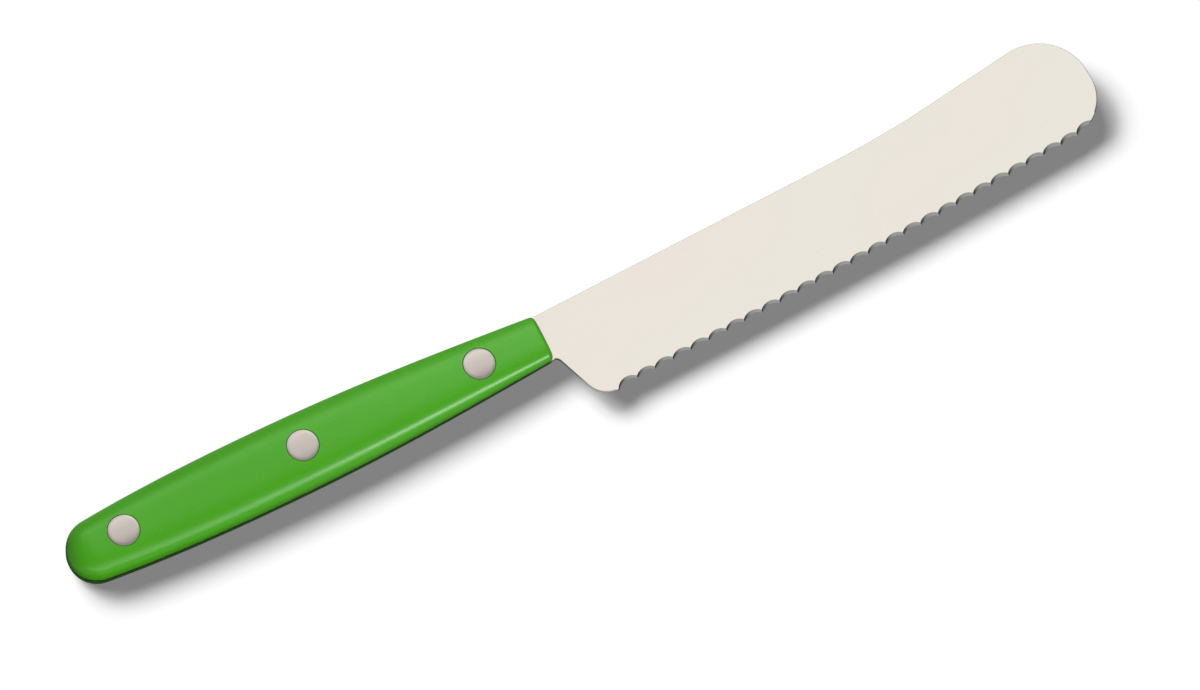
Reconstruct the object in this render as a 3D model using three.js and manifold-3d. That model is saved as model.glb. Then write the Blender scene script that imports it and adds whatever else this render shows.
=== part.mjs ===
// Bread roll knife: a stamped blade with a full tang, two handle scales and three two-piece rivets.
// Millimetres. The pieces are drawn with zero where the handle's axis meets the handle's front:
// x runs towards the tip, y towards the spine, and z is square to the blade, out of its ground face.
import * as THREE from "three";
import { mergeVertices } from "three/addons/utils/BufferGeometryUtils.js";
import Module from "manifold-3d";

// Blade
const BLADE_LENGTH = 120; // from the handle's front to the tip
const BLADE_THICKNESS = 1; // blade and tang are one strip
const TIP_UPPER_RADIUS = 10.85; // the tip's round towards the spine
const TIP_DROP = 4.85; // its centre lies this far below the handle's axis
const TIP_STRAIGHT = 1.75; // between the two rounds of the tip
const TIP_LOWER_RADIUS = 8.75; // the tip's round towards the edge
const SPINE_DIP_AT = 77.7; // where the two straight stretches of the spine would meet
const SPINE_DIP_HEIGHT = 3.2;
const SPINE_BLEND_BEHIND = 16; // the bend between them starts this far behind that place
const SPINE_BLEND_AHEAD = 9.5;
const HEEL_AT = 7.95; // the lowest point of the heel
const HEEL_DEPTH = 16.35; // below the handle's axis
const HEEL_RADIUS = 5.2;
const HEEL_STEP = 0.7; // steel that shows in front of the handle's lower corner
const HEEL_FILLET = 1.1;
const EDGE_BOW = 0.65; // the edge hangs this much below a straight line at mid length

// Scallops, ground from one face only
const SCALLOP_PITCH = 4;
const SCALLOP_RADIUS = 2.8;
const SCALLOP_HEEL_DEPTH = 1.55; // above the unground edge, on the ground face
const SCALLOP_TIP_DEPTH = 1.05; // it changes evenly from the heel to the tip
const SCALLOP_HEEL_RUN = 0.35; // how far the grind slopes from the ground face to the cutting edge
const SCALLOP_TIP_RUN = 0.55; // it changes evenly too
const SCALLOP_START = 2.25; // from the lowest point of the heel to the first centre
const SCALLOP_END = 5.5; // no centre lies nearer to the tip than this

// Handle outline, along its axis and to both sides of it
const HANDLE_LENGTH = 104.2;
const HANDLE_ANGLE = THREE.MathUtils.degToRad(3.2); // the butt rises from the line of the edge
const FRONT_WIDTH = 9.6;
const FRONT_FLARE = THREE.MathUtils.degToRad(4.4); // each side opens by this angle at the front
const FLARE_HOLD = 0.46; // how firmly that angle is kept, as a share of the way to the belly
const BELLY_WIDTH = 15.44;
const BELLY_AT = 61; // from the front
const BELLY_HOLD = 0.31; // how firmly the sides lie level in front of the belly, as a like share
const BUTT_RADIUS = 6.2;
const BUTT_TAPER = THREE.MathUtils.degToRad(5.7); // each side closes by this angle at the butt
const BUTT_HOLD = 0.33; // how firmly both ends of that stretch are kept, as a share of its length

// Scales
const SCALE_HEIGHT = 5.4; // above the tang's face
const SCALE_FRONT_HEIGHT = 2.6;
const CROWN_POWER = 2.8; // 2 is an ellipse, more is flatter on top
const FRONT_ROUND = 1; // round along the front edges of a scale

// Rivets, on the handle's axis
const FRONT_RIVET_AT = 14.1; // from the handle's front
const MIDDLE_RIVET_AT = 52.8;
const REAR_RIVET_FROM_BUTT = 12.1;
const HEAD_DIAMETER = 6.4;
const HEAD_THICKNESS = 1.8;
const TUBE_DIAMETER = 4;
const STEM_DIAMETER = 2.5;
const TUBE_END_GAP = 0.5; // the tube stops this far short of the other head
const STEM_END_GAP = 0.5; // the stem stops this far short of the blind end of the tube
const HEAD_FLOOR = 0.5; // metal between the blind end of the tube and the head's seat
const RIVET_CLEARANCE = 0.1; // all round heads and tubes
const STEM_CLEARANCE = 0.05; // all round the stems

// Steps of the curved outlines and round pieces
const OUTLINE_STEPS = 10;
const ARCH_STEPS = 15;
const FRONT_ROUND_STEPS = 3;
const ROUND_STEPS = 32;
const SCALLOP_STEPS = 48;
const OVERCUT = 1; // cutting tools reach this far past what they cut

const TANG_FACE = BLADE_THICKNESS / 2;
const BUTT_CENTRE = HANDLE_LENGTH - BUTT_RADIUS;

const wasm = await Module();
wasm.setup();

// A closed three.js geometry as a solid that can be joined and cut.
function solidOf(geometry) {
  const bare = geometry.clone();
  bare.deleteAttribute("normal");
  bare.deleteAttribute("uv");
  const merged = mergeVertices(bare, 1e-5);
  return new wasm.Manifold(
    new wasm.Mesh({
      numProp: 3,
      vertProperties: new Float32Array(merged.attributes.position.array),
      triVerts: new Uint32Array(merged.index.array),
    }),
  );
}

// A finished solid as a named mesh with its own material.
function meshOf(name, solid, colour, roughness, metalness) {
  const { vertProperties, triVerts } = solid.getMesh();
  const geometry = new THREE.BufferGeometry();
  geometry.setAttribute("position", new THREE.BufferAttribute(vertProperties, 3));
  geometry.setIndex(new THREE.BufferAttribute(triVerts, 1));
  geometry.computeVertexNormals();
  const material = new THREE.MeshStandardMaterial({ color: colour, roughness, metalness });
  const mesh = new THREE.Mesh(geometry, material);
  mesh.name = name;
  return mesh;
}

// A round bar along z, at a place on the handle's axis.
function roundBar(along, diameter, low, high) {
  const bar = new THREE.CylinderGeometry(diameter / 2, diameter / 2, high - low, ROUND_STEPS);
  const centre = onHandle(along, 0);
  bar.rotateX(Math.PI / 2);
  bar.translate(centre.x, centre.y, (low + high) / 2);
  return solidOf(bar);
}

// A place on the handle: so far behind its front, and so far from its axis towards the spine.
function onHandle(along, across) {
  const cos = Math.cos(HANDLE_ANGLE);
  const sin = Math.sin(HANDLE_ANGLE);
  return new THREE.Vector2(across * sin - along * cos, across * cos + along * sin);
}

function onCircle(centre, radius, angle) {
  return new THREE.Vector2(centre.x + radius * Math.cos(angle), centre.y + radius * Math.sin(angle));
}

// The angle on a circle where a line from an outside point touches it; side picks one of the two.
function tangentAngle(from, centre, radius, side) {
  const reach = new THREE.Vector2().subVectors(from, centre);
  return reach.angle() + side * Math.acos(radius / reach.length());
}

// One side of the handle's outline, from the front to the butt: x is along the axis, y is across it.
function handleSide() {
  const front = new THREE.Vector2(0, FRONT_WIDTH / 2);
  const belly = new THREE.Vector2(BELLY_AT, BELLY_WIDTH / 2);
  const buttAngle = Math.PI / 2 - BUTT_TAPER;
  const butt = onCircle(new THREE.Vector2(BUTT_CENTRE, 0), BUTT_RADIUS, buttAngle);
  const frontReach = FLARE_HOLD * belly.x;
  const bellyReach = BELLY_HOLD * belly.x;
  const buttReach = BUTT_HOLD * (butt.x - belly.x);
  const side = new THREE.Path();
  side.moveTo(front.x, front.y);
  side.bezierCurveTo(
    frontReach,
    front.y + frontReach * Math.tan(FRONT_FLARE),
    belly.x - bellyReach,
    belly.y,
    belly.x,
    belly.y,
  );
  side.bezierCurveTo(
    belly.x + buttReach,
    belly.y,
    butt.x - buttReach,
    butt.y + buttReach * Math.tan(BUTT_TAPER),
    butt.x,
    butt.y,
  );
  side.absarc(BUTT_CENTRE, 0, BUTT_RADIUS, buttAngle, 0, true);
  return side.getPoints(OUTLINE_STEPS);
}

const HANDLE_SIDE = handleSide();

// Half the handle's width at a distance from its front.
function halfWidthAt(along) {
  const next = HANDLE_SIDE.findIndex((point) => point.x > along);
  const before = HANDLE_SIDE[next - 1];
  const after = HANDLE_SIDE[next];
  const share = (along - before.x) / (after.x - before.x);
  return before.y + share * (after.y - before.y);
}

// Height of a scale's crown above the tang's face: it rises from the front and rounds off at the butt.
function crownAt(along) {
  if (along > BUTT_CENTRE) {
    const share = Math.min((along - BUTT_CENTRE) / BUTT_RADIUS, 1);
    return SCALE_HEIGHT * (1 - share ** CROWN_POWER) ** (1 / CROWN_POWER);
  }
  const toBelly = Math.max(1 - along / BELLY_AT, 0);
  return SCALE_HEIGHT - (SCALE_HEIGHT - SCALE_FRONT_HEIGHT) * toBelly ** 2;
}

// The outline of blade and tang, once round from the handle's upper front corner.
function bladeOutline() {
  const upperTip = new THREE.Vector2(BLADE_LENGTH - TIP_UPPER_RADIUS, -TIP_DROP);
  const lowerTip = lowerTipCentre();
  const heel = new THREE.Vector2(HEEL_AT, HEEL_RADIUS - HEEL_DEPTH);
  const upperCorner = onHandle(0, FRONT_WIDTH / 2);
  const lowerCorner = onHandle(0, -FRONT_WIDTH / 2);
  const dip = new THREE.Vector2(SPINE_DIP_AT, SPINE_DIP_HEIGHT);
  const tipAngle = tangentAngle(dip, upperTip, TIP_UPPER_RADIUS, -1);
  const spineEnd = onCircle(upperTip, TIP_UPPER_RADIUS, tipAngle);
  const bendStart = towards(dip, upperCorner, SPINE_BLEND_BEHIND);
  const bendEnd = towards(dip, spineEnd, SPINE_BLEND_AHEAD);
  const edgeBend = edgeControl();
  const neck = new THREE.Vector2(lowerCorner.x + HEEL_STEP, lowerCorner.y);
  const heelAngle = tangentAngle(neck, heel, HEEL_RADIUS, 1);
  const heelEnd = onCircle(heel, HEEL_RADIUS, heelAngle);
  const filletStart = towards(neck, heelEnd, HEEL_FILLET);

  const outline = new THREE.Path();
  outline.moveTo(upperCorner.x, upperCorner.y);
  outline.lineTo(bendStart.x, bendStart.y);
  outline.quadraticCurveTo(dip.x, dip.y, bendEnd.x, bendEnd.y);
  outline.absarc(upperTip.x, upperTip.y, TIP_UPPER_RADIUS, tipAngle, 0, true);
  outline.absarc(lowerTip.x, lowerTip.y, TIP_LOWER_RADIUS, 0, -Math.PI / 2, true);
  outline.quadraticCurveTo(edgeBend.x, edgeBend.y, heel.x, heel.y - HEEL_RADIUS);
  outline.absarc(heel.x, heel.y, HEEL_RADIUS, -Math.PI / 2, heelAngle - 2 * Math.PI, true);
  outline.lineTo(filletStart.x, filletStart.y);
  outline.quadraticCurveTo(neck.x, neck.y, lowerCorner.x, lowerCorner.y);
  const points = outline.getPoints(OUTLINE_STEPS);
  HANDLE_SIDE.slice(1).forEach((point) => points.push(onHandle(point.x, -point.y)));
  HANDLE_SIDE.slice(1, -1)
    .reverse()
    .forEach((point) => points.push(onHandle(point.x, point.y)));
  return points.filter((point, i) => i === 0 || point.distanceTo(points[i - 1]) > 1e-4);
}

// A point at a distance from one point in the direction of another.
function towards(from, to, distance) {
  return from.clone().lerp(to, distance / from.distanceTo(to));
}

// The centre of the tip's round towards the edge.
function lowerTipCentre() {
  return new THREE.Vector2(BLADE_LENGTH - TIP_LOWER_RADIUS, -TIP_DROP - TIP_STRAIGHT);
}

// The bend of the unground edge between the lowest points of heel and tip.
function edgeControl() {
  const tip = lowerTipCentre();
  const tipDepth = TIP_LOWER_RADIUS - tip.y;
  return new THREE.Vector2((HEEL_AT + tip.x) / 2, -(HEEL_DEPTH + tipDepth) / 2 - 2 * EDGE_BOW);
}

// Height of the unground edge, from the lowest point of the heel to the round of the tip.
function ungroundEdge(x) {
  const tip = lowerTipCentre();
  if (x > tip.x) {
    return tip.y - Math.sqrt(TIP_LOWER_RADIUS ** 2 - (x - tip.x) ** 2);
  }
  const heel = new THREE.Vector2(HEEL_AT, -HEEL_DEPTH);
  const tipEnd = new THREE.Vector2(tip.x, tip.y - TIP_LOWER_RADIUS);
  const edge = new THREE.QuadraticBezierCurve(heel, edgeControl(), tipEnd);
  return edge.getPoint((x - HEEL_AT) / (tip.x - HEEL_AT)).y;
}

// The path of the grinding wheel for one scallop: a bar that leans with the grind.
function scallopCutter(x) {
  const depth = THREE.MathUtils.mapLinear(x, HEEL_AT, BLADE_LENGTH, SCALLOP_HEEL_DEPTH, SCALLOP_TIP_DEPTH);
  const run = THREE.MathUtils.mapLinear(x, HEEL_AT, BLADE_LENGTH, SCALLOP_HEEL_RUN, SCALLOP_TIP_RUN);
  const lean = run / BLADE_THICKNESS;
  const length = BLADE_THICKNESS + 2 * OVERCUT;
  const bar = new THREE.CylinderGeometry(SCALLOP_RADIUS, SCALLOP_RADIUS, length, SCALLOP_STEPS);
  bar.rotateX(Math.PI / 2);
  bar.applyMatrix4(new THREE.Matrix4().makeShear(0, 0, 0, 0, 0, lean));
  bar.translate(x, ungroundEdge(x) + depth - SCALLOP_RADIUS - run / 2, 0);
  return solidOf(bar);
}

// Blade and tang, with the scallops ground in and a hole for each rivet.
function makeBlade(rivets) {
  const strip = new THREE.ExtrudeGeometry(new THREE.Shape(bladeOutline()), {
    depth: BLADE_THICKNESS,
    bevelEnabled: false,
  });
  strip.translate(0, 0, -TANG_FACE);
  let blade = solidOf(strip);
  const first = HEEL_AT + SCALLOP_START;
  const count = Math.floor((BLADE_LENGTH - SCALLOP_END - first) / SCALLOP_PITCH) + 1;
  for (let i = 0; i < count; i++) {
    blade = blade.subtract(scallopCutter(first + i * SCALLOP_PITCH));
  }
  const reach = TANG_FACE + OVERCUT;
  rivets.forEach(({ along }) => {
    blade = blade.subtract(roundBar(along, TUBE_DIAMETER + 2 * RIVET_CLEARANCE, -reach, reach));
  });
  return blade;
}

// Places along the handle where a scale's section is drawn, with its half width and height there.
function scaleStations() {
  const stations = [];
  for (let i = 0; i < FRONT_ROUND_STEPS; i++) {
    const angle = ((Math.PI / 2) * i) / FRONT_ROUND_STEPS;
    const along = FRONT_ROUND * (1 - Math.cos(angle));
    const inset = FRONT_ROUND * (1 - Math.sin(angle));
    stations.push({ along, half: halfWidthAt(along) - inset, crown: crownAt(along) - inset });
  }
  HANDLE_SIDE.slice(0, -1)
    .filter((point) => point.x >= FRONT_ROUND)
    .forEach((point) => stations.push({ along: point.x, half: point.y, crown: crownAt(point.x) }));
  return stations;
}

// One slab of the handle without its holes; side is 1 on the ground face and -1 on the back.
function scaleSlab(side) {
  const bend = (value) => Math.sign(value) * Math.abs(value) ** (2 / CROWN_POWER);
  const stations = scaleStations();
  const ring = ARCH_STEPS + 1;
  const points = [];
  stations.forEach(({ along, half, crown }) => {
    for (let k = 0; k < ring; k++) {
      const angle = (Math.PI * k) / ARCH_STEPS;
      const rise = k === ARCH_STEPS ? 0 : crown * bend(Math.sin(angle));
      const place = onHandle(along, half * bend(Math.cos(angle)));
      points.push(place.x, place.y, side * (TANG_FACE + rise));
    }
  });
  const butt = onHandle(HANDLE_LENGTH, 0);
  points.push(butt.x, butt.y, side * TANG_FACE);

  const faces = [];
  const addFace = (a, b, c) => faces.push(...(side > 0 ? [a, b, c] : [a, c, b]));
  for (let k = 1; k < ring - 1; k++) {
    addFace(0, k, k + 1);
  }
  const last = (stations.length - 1) * ring;
  for (let start = 0; start < last; start += ring) {
    for (let k = 0; k < ring; k++) {
      const a = start + k;
      const b = start + ((k + 1) % ring);
      addFace(a, a + ring, b);
      addFace(b, a + ring, b + ring);
    }
  }
  for (let k = 0; k < ring; k++) {
    addFace(last + k, last + ring, last + ((k + 1) % ring));
  }
  const slab = new THREE.BufferGeometry();
  slab.setAttribute("position", new THREE.Float32BufferAttribute(points, 3));
  slab.setIndex(faces);
  return solidOf(slab);
}

// A scale with a through hole and a seat for a head at each rivet.
function makeScale(side, slab, rivets) {
  const outside = TANG_FACE + SCALE_HEIGHT + OVERCUT;
  const inside = TANG_FACE - OVERCUT;
  return rivets.reduce((scale, { along, seat }) => {
    const hole = roundBar(along, TUBE_DIAMETER + 2 * RIVET_CLEARANCE, ...span(side, inside, outside));
    const counterbore = roundBar(along, HEAD_DIAMETER + 2 * RIVET_CLEARANCE, ...span(side, seat, outside));
    return scale.subtract(hole).subtract(counterbore);
  }, slab);
}

// Two heights above the middle of the blade, as low and high on one side of it.
function span(side, near, far) {
  return side > 0 ? [near, far] : [-far, -near];
}

// A rivet's head, ground flush with the crown of its scale.
function rivetHead(side, slab, { along, seat }) {
  const outside = TANG_FACE + SCALE_HEIGHT + OVERCUT;
  return roundBar(along, HEAD_DIAMETER, ...span(side, seat, outside)).intersect(slab);
}

// The female half: a head on the ground face, with a tube through to the other scale.
function makeSleeve(slab, rivet) {
  const { along, seat } = rivet;
  const open = TUBE_END_GAP - seat;
  const tube = roundBar(along, TUBE_DIAMETER, open, seat + HEAD_FLOOR);
  const bore = roundBar(along, STEM_DIAMETER + 2 * STEM_CLEARANCE, open - OVERCUT, seat - HEAD_FLOOR);
  return rivetHead(1, slab, rivet).add(tube).subtract(bore);
}

// The male half: a head on the back, with a stem up the tube.
function makePin(slab, rivet) {
  const { along, seat } = rivet;
  const stem = roundBar(along, STEM_DIAMETER, -seat - HEAD_FLOOR, seat - HEAD_FLOOR - STEM_END_GAP);
  return rivetHead(-1, slab, rivet).add(stem);
}

const RIVETS = [
  { name: "front", along: FRONT_RIVET_AT },
  { name: "middle", along: MIDDLE_RIVET_AT },
  { name: "rear", along: HANDLE_LENGTH - REAR_RIVET_FROM_BUTT },
];
RIVETS.forEach((rivet) => {
  rivet.seat = TANG_FACE + crownAt(rivet.along) - HEAD_THICKNESS;
});

const STEEL = 0xe9e4da;
const GREEN = 0x4da72f;
const RIVET_METAL = 0xc4bcb4;

const rightSlab = scaleSlab(1);
const leftSlab = scaleSlab(-1);
const pieces = new THREE.Group();
pieces.add(meshOf("blade", makeBlade(RIVETS), STEEL, 0.25, 1));
pieces.add(meshOf("right_scale", makeScale(1, rightSlab, RIVETS), GREEN, 0.25, 0));
pieces.add(meshOf("left_scale", makeScale(-1, leftSlab, RIVETS), GREEN, 0.25, 0));
RIVETS.forEach((rivet) => {
  pieces.add(meshOf(`${rivet.name}_rivet_sleeve`, makeSleeve(rightSlab, rivet), RIVET_METAL, 0.35, 1));
  pieces.add(meshOf(`${rivet.name}_rivet_pin`, makePin(leftSlab, rivet), RIVET_METAL, 0.35, 1));
});

// The knife lies on its left side, with zero under the middle of its box.
const box = new THREE.Box3().setFromObject(pieces);
const centre = box.getCenter(new THREE.Vector3());
pieces.position.set(-centre.x, -centre.y, -box.min.z);

const knife = new THREE.Group();
knife.add(pieces);

export default knife;
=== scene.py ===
"""Bread roll knife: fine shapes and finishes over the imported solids, on a white table."""

import math

import bmesh
import bpy
import numpy as np
from mathutils import Matrix, Vector
from mathutils.geometry import delaunay_2d_cdt


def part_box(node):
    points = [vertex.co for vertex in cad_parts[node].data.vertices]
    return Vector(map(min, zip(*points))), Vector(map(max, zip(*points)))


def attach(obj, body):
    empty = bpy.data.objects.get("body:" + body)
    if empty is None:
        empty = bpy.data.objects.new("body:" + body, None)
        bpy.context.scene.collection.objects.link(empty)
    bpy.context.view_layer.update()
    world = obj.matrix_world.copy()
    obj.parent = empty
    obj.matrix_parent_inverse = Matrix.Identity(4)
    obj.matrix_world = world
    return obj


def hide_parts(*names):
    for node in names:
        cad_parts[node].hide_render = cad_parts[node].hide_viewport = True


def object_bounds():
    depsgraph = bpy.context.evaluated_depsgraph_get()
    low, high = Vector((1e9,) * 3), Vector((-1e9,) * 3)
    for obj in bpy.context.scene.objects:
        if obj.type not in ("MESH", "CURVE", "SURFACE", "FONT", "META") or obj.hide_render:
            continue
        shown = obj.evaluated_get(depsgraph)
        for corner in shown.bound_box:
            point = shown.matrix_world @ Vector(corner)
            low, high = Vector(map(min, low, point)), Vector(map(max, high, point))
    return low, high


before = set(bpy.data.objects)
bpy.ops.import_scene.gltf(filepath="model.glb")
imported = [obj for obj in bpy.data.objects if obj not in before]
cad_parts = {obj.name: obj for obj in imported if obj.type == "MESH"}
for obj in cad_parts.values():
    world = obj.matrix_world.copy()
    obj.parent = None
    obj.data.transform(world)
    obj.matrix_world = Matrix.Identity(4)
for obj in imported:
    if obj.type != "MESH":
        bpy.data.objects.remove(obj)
CAD_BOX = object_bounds()

MM = 0.001

# The maker's sizes, in millimetres. Zero is where the handle's axis meets the handle's front:
# x runs towards the tip, y towards the spine, and z is square to the blade, out of its ground face.

# Blade
BLADE_LENGTH = 120.0
BLADE_THICKNESS = 1.0
TIP_UPPER_RADIUS = 10.85
TIP_DROP = 4.85
TIP_STRAIGHT = 1.75
TIP_LOWER_RADIUS = 8.75
SPINE_DIP = Vector((77.7, 3.2))
SPINE_BLEND_BEHIND = 16.0
SPINE_BLEND_AHEAD = 9.5
HEEL_AT = 7.95
HEEL_DEPTH = 16.35
HEEL_RADIUS = 5.2
HEEL_STEP = 0.7
HEEL_FILLET = 1.1
EDGE_BOW = 0.65
EDGE_ROUND = 0.16  # polished edges of the blade
TANG_ROUND = 0.03  # the tang is ground flush with the scales

# Scallops
SCALLOP_PITCH = 4.0
SCALLOP_RADIUS = 2.8
SCALLOP_HEEL_DEPTH = 1.55
SCALLOP_TIP_DEPTH = 1.05
SCALLOP_HEEL_RUN = 0.35
SCALLOP_TIP_RUN = 0.55
SCALLOP_FIRST = 10.2
SCALLOP_COUNT = 27

# Handle outline
HANDLE_LENGTH = 104.2
HANDLE_ANGLE = math.radians(3.2)
FRONT_WIDTH = 9.6
FRONT_FLARE = math.radians(4.4)
FLARE_HOLD = 0.46
BELLY_WIDTH = 15.44
BELLY_AT = 61.0
BELLY_HOLD = 0.31
BUTT_RADIUS = 6.2
BUTT_TAPER = math.radians(5.7)
BUTT_HOLD = 0.33

# Scales
SCALE_HEIGHT = (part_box("right_scale")[1].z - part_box("blade")[1].z) / MM
SCALE_FRONT_HEIGHT = 2.59
CROWN_POWER = 2.8
FRONT_ROUND = 1.0
HOLE_RIM_ROUND = 0.06  # the scale's hole is broken at its rim

# Rivets
RIVETS_AT = (14.1, 52.8, 92.1)
HEAD_RADIUS = 3.2
HEAD_THICKNESS = 1.8
HEAD_RIM_ROUND = 0.08
HEAD_SHOULDER = 0.7  # the polished head falls away towards its rim
HEAD_SHOULDER_DROP = 0.07
TUBE_RADIUS = 2.0
STEM_RADIUS = 1.25
TUBE_END_GAP = 0.5
STEM_END_GAP = 0.5
HEAD_FLOOR = 0.5
RIVET_CLEARANCE = 0.1
STEM_CLEARANCE = 0.05

# Fineness of the meshes
CURVE_STEPS = 24
LINE_STEP = 1.0
ROUND_STEPS = 96
CORNER_STEPS = 4
SCALLOP_STEPS = 32  # to each pitch
ARCH_STEPS = 72
HANDLE_STEPS = 128
FRONT_STEPS = 8
BUTT_STEPS = 28
HEAD_STEPS = 8
HOLE_MARGIN = 0.25  # how far the skin's own points keep from a hole
LEAST_STEP = 0.3  # between rows of the skin when it is laid flat
SHARP_ANGLE = math.radians(32)
GROUND_RISE = 0.02  # how far an edge is ground away before it counts as ground
WELD = 1e-4
TINY = 1e-9
WITH_HULL, INSIDE_ONLY = 0, 1  # what a triangulation keeps

TANG_FACE = BLADE_THICKNESS / 2
BUTT_CENTRE = HANDLE_LENGTH - BUTT_RADIUS
BUTT_ROUND_START = BUTT_CENTRE + BUTT_RADIUS * math.sin(BUTT_TAPER)
TIP_UPPER = Vector((BLADE_LENGTH - TIP_UPPER_RADIUS, -TIP_DROP))
TIP_LOWER = Vector((BLADE_LENGTH - TIP_LOWER_RADIUS, -TIP_DROP - TIP_STRAIGHT))
TIP_DEPTH = TIP_LOWER_RADIUS - TIP_LOWER.y
HOLE_RADIUS = HEAD_RADIUS + RIVET_CLEARANCE
TUBE_HOLE_RADIUS = TUBE_RADIUS + RIVET_CLEARANCE


# Plane curves

def on_handle(along, across):
    """A place on the handle: so far behind its front, and so far from its axis towards the spine."""
    cos, sin = math.cos(HANDLE_ANGLE), math.sin(HANDLE_ANGLE)
    return Vector((across * sin - along * cos, across * cos + along * sin))


def bezier(*controls, steps=CURVE_STEPS):
    """Points along a Bezier curve of any degree."""
    points = []
    for share in np.linspace(0, 1, steps + 1):
        row = [Vector(p) for p in controls]
        while len(row) > 1:
            row = [a.lerp(b, share) for a, b in zip(row, row[1:])]
        points.append(row[0])
    return points


def straight(start, end):
    """Points along a straight line, about one step apart."""
    steps = max(round((end - start).length / LINE_STEP), 1)
    return [start.lerp(end, i / steps) for i in range(steps + 1)]


def arc(centre, radius, start, end, steps=2 * CURVE_STEPS):
    """Points along a circle from one angle to another."""
    return [on_circle(centre, radius, angle) for angle in np.linspace(start, end, steps + 1)]


def on_circle(centre, radius, angle):
    """A point on a circle."""
    return Vector((centre.x + radius * math.cos(angle), centre.y + radius * math.sin(angle)))


def towards(start, end, distance):
    """A point at a distance from one point in the direction of another."""
    return start.lerp(end, distance / (end - start).length)


def tangent_angle(start, centre, radius, side):
    """The angle on a circle where a line from an outside point touches it; side picks one of the two."""
    reach = start - centre
    return math.atan2(reach.y, reach.x) + side * math.acos(radius / reach.length)


# Handle form

def handle_side():
    """Half widths of the handle from its front to the start of the butt's round."""
    flare = FLARE_HOLD * BELLY_AT
    level = BELLY_HOLD * BELLY_AT
    close = BUTT_HOLD * (BUTT_ROUND_START - BELLY_AT)
    belly = BELLY_WIDTH / 2
    butt = BUTT_RADIUS * math.cos(BUTT_TAPER)
    front_part = bezier(
        (0, FRONT_WIDTH / 2),
        (flare, FRONT_WIDTH / 2 + flare * math.tan(FRONT_FLARE)),
        (BELLY_AT - level, belly),
        (BELLY_AT, belly),
        steps=HANDLE_STEPS,
    )
    butt_part = bezier(
        (BELLY_AT, belly),
        (BELLY_AT + close, belly),
        (BUTT_ROUND_START - close, butt + close * math.tan(BUTT_TAPER)),
        (BUTT_ROUND_START, butt),
        steps=HANDLE_STEPS,
    )
    return np.array(front_part + butt_part[1:])


HANDLE_SIDE = handle_side()


def half_width(along):
    """Half the handle's width at a distance from its front."""
    if along > BUTT_ROUND_START:
        return math.sqrt(max(BUTT_RADIUS**2 - (along - BUTT_CENTRE) ** 2, 0))
    return float(np.interp(along, HANDLE_SIDE[:, 0], HANDLE_SIDE[:, 1]))


def crown(along):
    """Height of a scale's crown above the tang's face."""
    if along > BUTT_CENTRE:
        share = min((along - BUTT_CENTRE) / BUTT_RADIUS, 1)
        return SCALE_HEIGHT * (1 - share**CROWN_POWER) ** (1 / CROWN_POWER)
    to_belly = max(1 - along / BELLY_AT, 0)
    return SCALE_HEIGHT - (SCALE_HEIGHT - SCALE_FRONT_HEIGHT) * to_belly**2


def section(along):
    """Half width and crown of a scale, drawn in by the round of its front edges."""
    back = max(FRONT_ROUND - along, 0)
    inset = FRONT_ROUND - math.sqrt(FRONT_ROUND**2 - back**2)
    return half_width(along) - inset, crown(along) - inset


def crown_height(along, across):
    """Height of a scale's skin above the tang's face."""
    half, top = section(along)
    return top * (1 - min(abs(across) / half, 1) ** CROWN_POWER) ** (1 / CROWN_POWER)


def skin_normal(along, across, rise):
    """Which way a scale's skin faces, in the maker's frame."""
    step = 0.01
    low, high = max(along - step, 0), min(along + step, HANDLE_LENGTH - step / 10)
    (half_low, top_low), (half_high, top_high) = section(low), section(high)
    half, top = section(min(along, high))
    wide = (abs(across) / half) ** CROWN_POWER
    tall = (rise / top) ** CROWN_POWER
    slope = wide * (half_high - half_low) / half + tall * (top_high - top_low) / top
    across_pull = math.copysign(wide / max(abs(across), TINY), across)
    side = on_handle(0, across_pull)
    back = on_handle(-slope / (high - low), 0)
    return Vector((side.x + back.x, side.y + back.y, tall / max(rise, TINY))).normalized()


# Node trees

class Term:
    """A number in a node tree, so that sums in nodes are written as sums."""

    def __init__(self, tree, socket):
        self.tree = tree
        self.socket = socket

    def join(self, operation, *terms):
        node = self.tree.nodes.new("ShaderNodeMath")
        node.operation = operation
        for slot, term in zip(node.inputs, terms):
            connect(self.tree, term, slot)
        return Term(self.tree, node.outputs[0])

    def __add__(self, other):
        return self.join("ADD", self, other)

    def __sub__(self, other):
        return self.join("SUBTRACT", self, other)

    def __rsub__(self, other):
        return self.join("SUBTRACT", other, self)

    def __mul__(self, other):
        return self.join("MULTIPLY", self, other)

    def __truediv__(self, other):
        return self.join("DIVIDE", self, other)

    __radd__ = __add__
    __rmul__ = __mul__

    def least(self, other):
        return self.join("MAXIMUM", self, other)

    def most(self, other):
        return self.join("MINIMUM", self, other)

    def root(self):
        return self.join("SQRT", self.least(0))

    def nearest(self):
        return self.join("ROUND", self)

    def floor(self):
        return self.join("FLOOR", self)

    def over(self, other):
        return self.join("GREATER_THAN", self, other)

    def cosine(self):
        return self.join("COSINE", self)

    def sine(self):
        return self.join("SINE", self)


def connect(tree, value, slot):
    """Gives an input a link, or a plain value."""
    if isinstance(value, Term):
        value = value.socket
    if isinstance(value, bpy.types.NodeSocket):
        tree.links.new(value, slot)
    elif value is not None:
        slot.default_value = value


def add_node(tree, kind, inputs=None, **settings):
    """A node with its settings and inputs; an input is named or numbered."""
    node = tree.nodes.new(kind)
    for name, value in settings.items():
        setattr(node, name, value)
    for name, value in (inputs or {}).items():
        connect(tree, value, node.inputs[name])
    return node


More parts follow.
